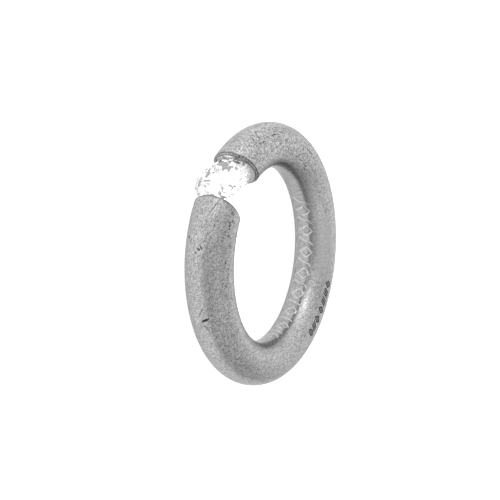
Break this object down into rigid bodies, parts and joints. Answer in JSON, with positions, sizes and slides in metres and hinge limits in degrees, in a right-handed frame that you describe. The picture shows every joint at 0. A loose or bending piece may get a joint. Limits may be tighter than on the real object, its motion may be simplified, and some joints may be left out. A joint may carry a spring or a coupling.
{
  "type": "tension set ring",
  "caption": "Open finger ring of thick round satin metal whose bevelled ends clamp a round brilliant cut stone by its girdle.",
  "frame": {"origin": "middle of the finger hole, halfway through the thickness of the band", "axes": "+Z along the finger's axis, up when the ring lies on its side; -Y from the middle of the hole towards the stone"},
  "size_m": [0.0263, 0.026, 0.0054],
  "materials": {
    "satin_metal": "satin, with fine scratches in many directions",
    "clear_stone": "polished facets"
  },
  "bodies": {
    "root": {"band": "satin_metal", "stone": "clear_stone"}
  },
  "joints": []
}
